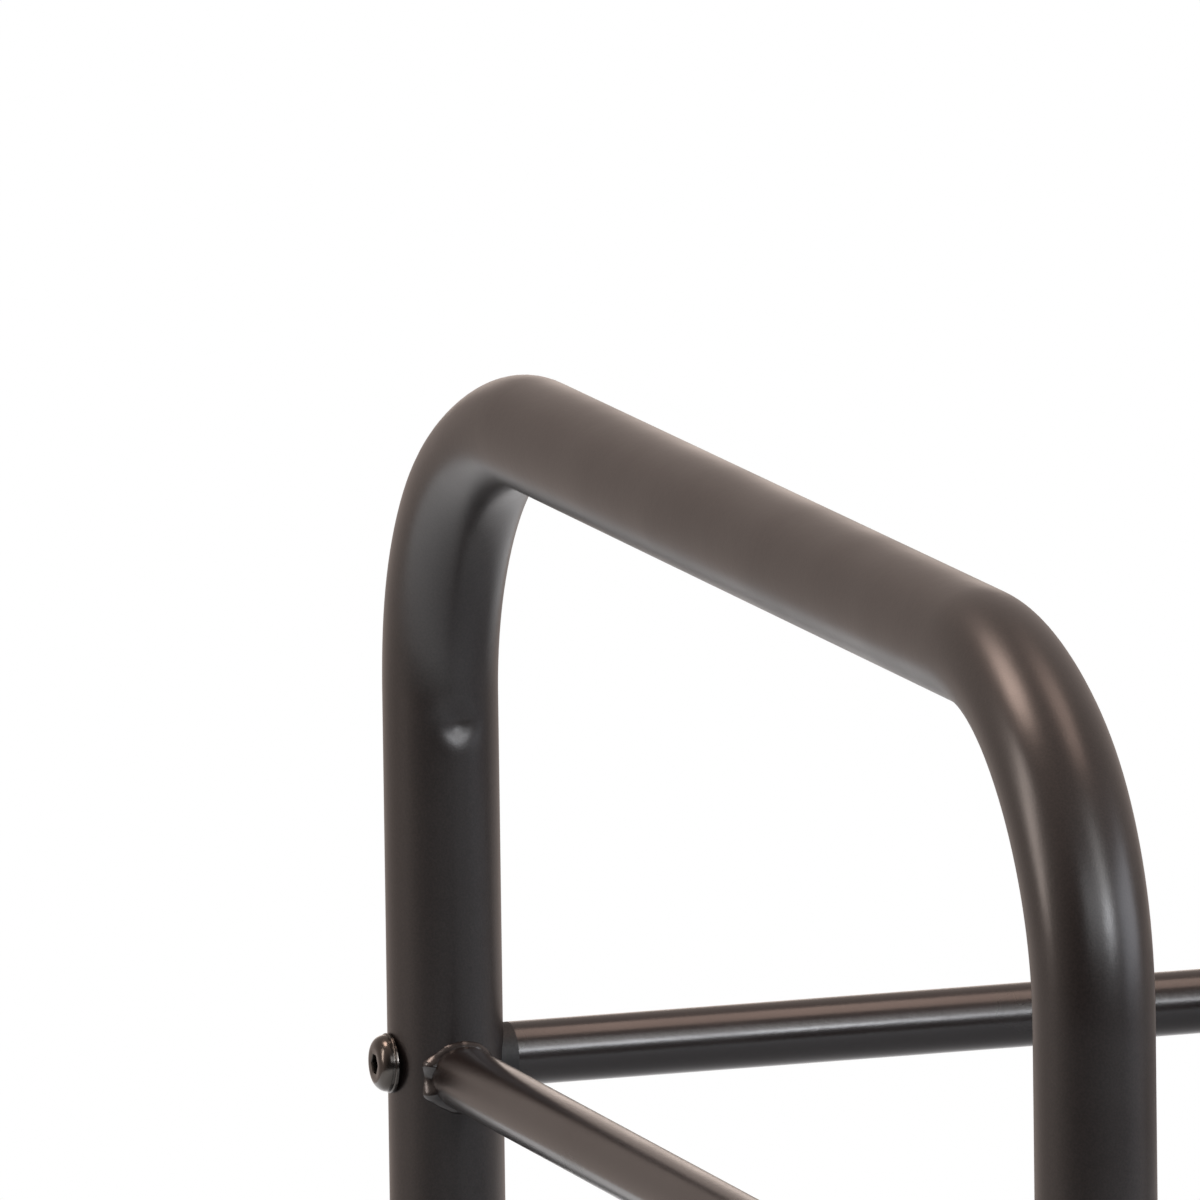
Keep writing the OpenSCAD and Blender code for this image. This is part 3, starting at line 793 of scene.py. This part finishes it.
class RACK_OT_welds(bpy.types.Operator):
    """Lays the weld beads of the crossbars and stretchers"""
    bl_idname = "luggage_rack.welds"
    bl_label = "Weld beads"

    def execute(self, context):
        tubes = context.scene.rack_tubes
        for end, name in END_NAMES.items():
            beads = []
            for side in (FRONT, REAR):
                grid = bead_grid(side, CROSSBAR_Z, end, tubes) + [end * HOOP_X, 0, 0]
                beads.append(skin("bead", grid, wrap=(True, True)))
            piece = joined(f"{name}_crossbar_welds", beads)
            dress(piece, "upper_frame", "powder_coat", "Powder coated bars")
            leg_len = HINGE_Z / math.cos(tubes.splay)
            beads = []
            for side in (FRONT, REAR):
                grid = bead_grid(side, tubes.stretcher_rise - leg_len, end, tubes)
                beads.append(skin("bead", in_leg_frame(grid, end, tubes.splay), wrap=(True, True)))
            piece = joined(f"{name}_stretcher_welds", beads)
            dress(piece, f"{name}_legs", "powder_coat", "Powder coated bars")
        return {"FINISHED"}


class RACK_OT_bolts(bpy.types.Operator):
    """Turns the rail bolts, hinge bolts and lock nuts"""
    bl_idname = "luggage_rack.bolts"
    bl_label = "Bolts and nuts"

    def execute(self, context):
        bolts = context.scene.rack_bolts
        head_y = box("pivot_bolts")[1][1] - bolts.pivot_head_h
        grip = head_y - LEG_Y
        hinge_len = 2 * grip + bolts.nut_h + 1 * MM
        rail_bolt = turned(bolt_profile(bolts.rail_head, bolts.rail_head_h, bolts.rail_shank,
                                        bolts.rail_shank_len, bolts.socket, bolts.socket_depth))
        hinge_bolt = turned(bolt_profile(bolts.pivot_head, bolts.pivot_head_h, bolts.pivot_shank,
                                         hinge_len, bolts.socket, bolts.socket_depth))
        nut = turned(nut_profile(bolts), columns=72)
        rail_bolts, hinge_bolts, nuts = [], [], []
        for end in (LEFT, RIGHT):
            for side in (FRONT, REAR):
                grid = placed(rail_bolt, (0, 1, 0), (0, 0, 1), (end, 0, 0),
                              (end * (HOOP_X + TUBE_R), side * LEG_Y, RAIL_Z))
                rail_bolts.append(skin("bolt", grid, sharp=30))
                grid = placed(hinge_bolt, (1, 0, 0), (0, 0, 1), (0, side, 0),
                              (end * HOOP_X, side * head_y, HINGE_Z))
                hinge_bolts.append(skin("bolt", grid, sharp=30))
                grid = placed(nut, (1, 0, 0), (0, 0, 1), (0, -side, 0),
                              (end * HOOP_X, side * (LEG_Y - grip), HINGE_Z))
                nuts.append(skin("nut", grid, sharp=30))
        for name, parts, node in (("rail_bolts_turned", rail_bolts, "rail_bolts"),
                                  ("hinge_bolts_turned", hinge_bolts, "pivot_bolts"),
                                  ("lock_nuts", nuts, "pivot_nuts")):
            dress(joined(name, parts), "upper_frame", "black_steel", "Blackened steel", node)
        return {"FINISHED"}


class RACK_OT_straps(bpy.types.Operator):
    """Lays the webbing straps round the rails and sews their ends"""
    bl_idname = "luggage_rack.straps"
    bl_label = "Straps"

    def execute(self, context):
        straps = context.scene.rack_straps
        for name in ("left_strap", "middle_strap", "right_strap"):
            low, high = box(name)
            middle = (low[0] + high[0]) / 2
            grid, uv, cut = strap_grid(middle, straps)
            band = skin(f"{name}_webbing", grid, uv=uv)
            dress(band, "upper_frame", "webbing", "Polypropylene webbing", name)
            sewing = self.sew(name, middle, straps)
        return {"FINISHED"}

    def sew(self, name, middle, straps):
        """Stitches of a strap's two seams, on its upper and its lower face."""
        spots, ways = stitch_places(straps)
        seam_y = strap_path(straps)[0][-1]
        under = STRAP_TOP - 2 * straps.thickness - straps.ply_gap
        lumps = []
        for side in (FRONT, REAR):
            at = np.stack([middle + spots[:, 0], side * (seam_y + spots[:, 1])], axis=-1)
            way = ways * [1, side]
            for face, height in ((1, STRAP_TOP), (-1, under)):
                lift = height + strap_lift(at[:, 1], straps)
                x, y, z = capsules(at, way, lift, straps.thread / 2, 0.86 * straps.stitch)
                if face < 0:
                    z = 2 * lift[:, None, None] - z
                lumps.append((x, y, z))
        x, y, z = (np.concatenate([lump[i] for lump in lumps]) for i in range(3))
        piece = many(f"{name}_stitches", x, y, z)
        return dress(piece, "upper_frame", "webbing", "Bonded thread")


class RACK_OT_feet(bpy.types.Operator):
    """Moulds the rubber feet"""
    bl_idname = "luggage_rack.feet"
    bl_label = "Feet"

    def execute(self, context):
        splay = context.scene.rack_tubes.splay
        form = turned(foot_profile(context.scene.rack_feet), columns=72)
        leg_len = HINGE_Z / math.cos(splay)
        for end, end_name in END_NAMES.items():
            for side, side_name in SIDE_NAMES.items():
                grid = in_leg_frame(form + [0, side * LEG_Y, -leg_len], end, splay)
                piece = skin(f"{side_name}_{end_name}_foot_rubber", cut_level(grid, splay, end))
                node = f"{side_name}_{end_name}_foot"
                dress(piece, f"{end_name}_legs", "rubber", "Moulded rubber", node)
        return {"FINISHED"}


def way_to(azimuth, elevation):
    """Unit vector (sin a cos e, -cos a cos e, sin e) towards azimuth a and elevation e, in degrees."""
    a, e = math.radians(azimuth), math.radians(elevation)
    return Vector((math.sin(a) * math.cos(e), -math.cos(a) * math.cos(e), math.sin(e)))


class RACK_OT_stage(bpy.types.Operator):
    """Sets the floor, the lights, the surround and the camera"""
    bl_idname = "luggage_rack.stage"
    bl_label = "Stage"

    def execute(self, context):
        self.floor(context.scene)
        self.surround(context.scene)
        for soft_box in SOFT_BOXES:
            self.lamp(*soft_box)
        self.camera(context.scene)
        return {"FINISHED"}

    def floor(self, scene):
        """Round pale floor.

        For the camera and in a gloss it adds a little light of its own, more towards its edge, so
        that it is white there and keeps the rack's shadow in the middle.
        """
        t = np.linspace(0, 2 * np.pi, 96, endpoint=False)
        rim = np.stack([np.cos(t), np.sin(t), 0 * t], axis=-1) * FLOOR_R
        mesh = bpy.data.meshes.new("floor")
        mesh.from_pydata(rim.tolist(), [], [list(range(len(rim)))])
        floor = bpy.data.objects.new("floor", mesh)
        scene.collection.objects.link(floor)
        material, tree, output = finish("Pale floor")
        path = add(tree, "ShaderNodeLightPath")
        seen = add(tree, "ShaderNodeMath", {"operation": "MAXIMUM"},
                   {0: path.outputs["Is Camera Ray"], 1: path.outputs["Is Glossy Ray"]})
        where = add(tree, "ShaderNodeTexCoord").outputs["Object"]
        away = add(tree, "ShaderNodeVectorMath", {"operation": "DISTANCE", 1: DARK_SPOT}, {0: where})
        spread = add(tree, "ShaderNodeMapRange",
                     {"From Min": 0.4, "From Max": 1.3, "To Min": 0.16, "To Max": 0.95,
                      "interpolation_type": "SMOOTHSTEP"}, {"Value": away.outputs["Value"]})
        glow = add(tree, "ShaderNodeMath", {"operation": "MULTIPLY"},
                   {0: seen.outputs["Value"], 1: spread.outputs["Result"]})
        surface = add(tree, "ShaderNodeBsdfPrincipled",
                      {"Base Color": scene.rack_colours.floor, "Roughness": 0.9,
                       "Emission Color": (1, 1, 1, 1), "Specular IOR Level": 0.0},
                      {"Emission Strength": glow.outputs["Value"]})
        tree.links.new(surface.outputs["BSDF"], output.inputs["Surface"])
        mesh.materials.append(material)

    def surround(self, scene):
        """White backdrop for the camera.

        In a gloss and as light on the rack it is softer, warm and dim on the open side of the studio.
        """
        scene.world = bpy.data.worlds.new("Surround")
        scene.world.use_nodes = True
        tree = scene.world.node_tree
        tree.nodes.clear()
        path = add(tree, "ShaderNodeLightPath")
        seen = add(tree, "ShaderNodeMath", {"operation": "MAXIMUM"},
                   {0: path.outputs["Is Camera Ray"], 1: path.outputs["Is Transmission Ray"]})
        way = add(tree, "ShaderNodeTexCoord").outputs["Generated"]
        ahead = add(tree, "ShaderNodeVectorMath", {"operation": "DOT_PRODUCT", 1: OPEN_SIDE}, {0: way})
        dim = add(tree, "ShaderNodeMapRange",
                  {"From Min": -0.15, "From Max": 0.75, "To Min": 1.0, "To Max": 0.12,
                   "interpolation_type": "SMOOTHSTEP"}, {"Value": ahead.outputs["Value"]})
        soft = add(tree, "ShaderNodeMapRange", {"To Min": 0.25, "To Max": 0.7},
                   {"Value": path.outputs["Is Glossy Ray"]})
        cast = add(tree, "ShaderNodeMath", {"operation": "MULTIPLY"},
                   {0: dim.outputs["Result"], 1: soft.outputs["Result"]})
        level = add(tree, "ShaderNodeMath", {"operation": "MAXIMUM"},
                    {0: seen.outputs["Value"], 1: cast.outputs["Value"]})
        tint = add(tree, "ShaderNodeMix", {"data_type": "RGBA", 6: linear(WARM_WHITE), 7: (1, 1, 1, 1)},
                   {0: seen.outputs["Value"]})
        sky = add(tree, "ShaderNodeBackground", None,
                  {"Color": tint.outputs[2], "Strength": level.outputs["Value"]})
        output = tree.nodes.new("ShaderNodeOutputWorld")
        tree.links.new(sky.outputs["Background"], output.inputs["Surface"])

    def lamp(self, name, azimuth, elevation, distance, wide, tall, radiance, tone):
        """Soft box that looks at the left hoop. Its power is pi times its area times its radiance."""
        light = bpy.data.lights.new(name, "AREA")
        light.shape = "RECTANGLE"
        light.size = wide
        light.size_y = tall
        light.energy = math.pi * wide * tall * radiance
        light.color = linear(tone)[:3]
        lamp = bpy.data.objects.new(name, light)
        bpy.context.scene.collection.objects.link(lamp)
        way = way_to(azimuth, elevation)
        lamp.location = Vector((-HOOP_X, 0, RAIL_Z)) + way * distance
        lamp.rotation_mode = "QUATERNION"
        lamp.rotation_quaternion = way.to_track_quat("Z", "Y")

    def camera(self, scene):
        """Long lens on the upper left corner of the rack."""
        data = bpy.data.cameras.new("camera")
        data.lens = CAMERA_LENS
        data.sensor_width = CAMERA_SENSOR
        data.clip_end = 100
        camera = bpy.data.objects.new("camera", data)
        scene.collection.objects.link(camera)
        back = way_to(CAMERA_AZIMUTH, CAMERA_ELEVATION)
        aim = Vector((-HOOP_X, LEG_Y, RAIL_Z)) + Vector(CAMERA_AIM) * MM
        camera.matrix_world = (Matrix.Translation(aim + back * CAMERA_DISTANCE)
                               @ back.to_track_quat("Z", "Y").to_matrix().to_4x4()
                               @ Matrix.Rotation(math.radians(CAMERA_ROLL), 4, "Z"))
        scene.camera = camera
        scene.view_settings.view_transform = "Standard"


OPERATORS = (RACK_OT_stage, RACK_OT_finishes, RACK_OT_hoops, RACK_OT_welds, RACK_OT_bolts,
             RACK_OT_straps, RACK_OT_feet)
GROUPS = {"rack_tubes": RackTubes, "rack_bolts": RackBolts, "rack_straps": RackStraps,
          "rack_feet": RackFeet, "rack_colours": RackColours}


class RACK_PT_panel(bpy.types.Panel):
    """Lists the rack's operators and sizes"""
    bl_label = "Luggage rack"
    bl_idname = "RACK_PT_panel"
    bl_space_type = "VIEW_3D"
    bl_region_type = "UI"
    bl_category = "Luggage rack"

    def draw(self, context):
        for operator in OPERATORS:
            self.layout.operator(operator.bl_idname)
        for group, kind in GROUPS.items():
            column = self.layout.column()
            for name in kind.__annotations__:
                column.prop(getattr(context.scene, group), name)


def register():
    """Registers the classes and hangs the size groups on the scene."""
    for group, kind in GROUPS.items():
        bpy.utils.register_class(kind)
        setattr(bpy.types.Scene, group, bpy.props.PointerProperty(type=kind))
    for kind in (*OPERATORS, RACK_PT_panel):
        bpy.utils.register_class(kind)


def unregister():
    """Undoes register."""
    for kind in (RACK_PT_panel, *reversed(OPERATORS)):
        bpy.utils.unregister_class(kind)
    for group, kind in GROUPS.items():
        delattr(bpy.types.Scene, group)
        bpy.utils.unregister_class(kind)


def main():
    """Builds the rack piece by piece."""
    register()
    bpy.ops.luggage_rack.stage()
    bpy.ops.luggage_rack.finishes()
    bpy.ops.luggage_rack.hoops()
    bpy.ops.luggage_rack.welds()
    bpy.ops.luggage_rack.bolts()
    bpy.ops.luggage_rack.straps()
    bpy.ops.luggage_rack.feet()


if __name__ == "__main__":
    main()
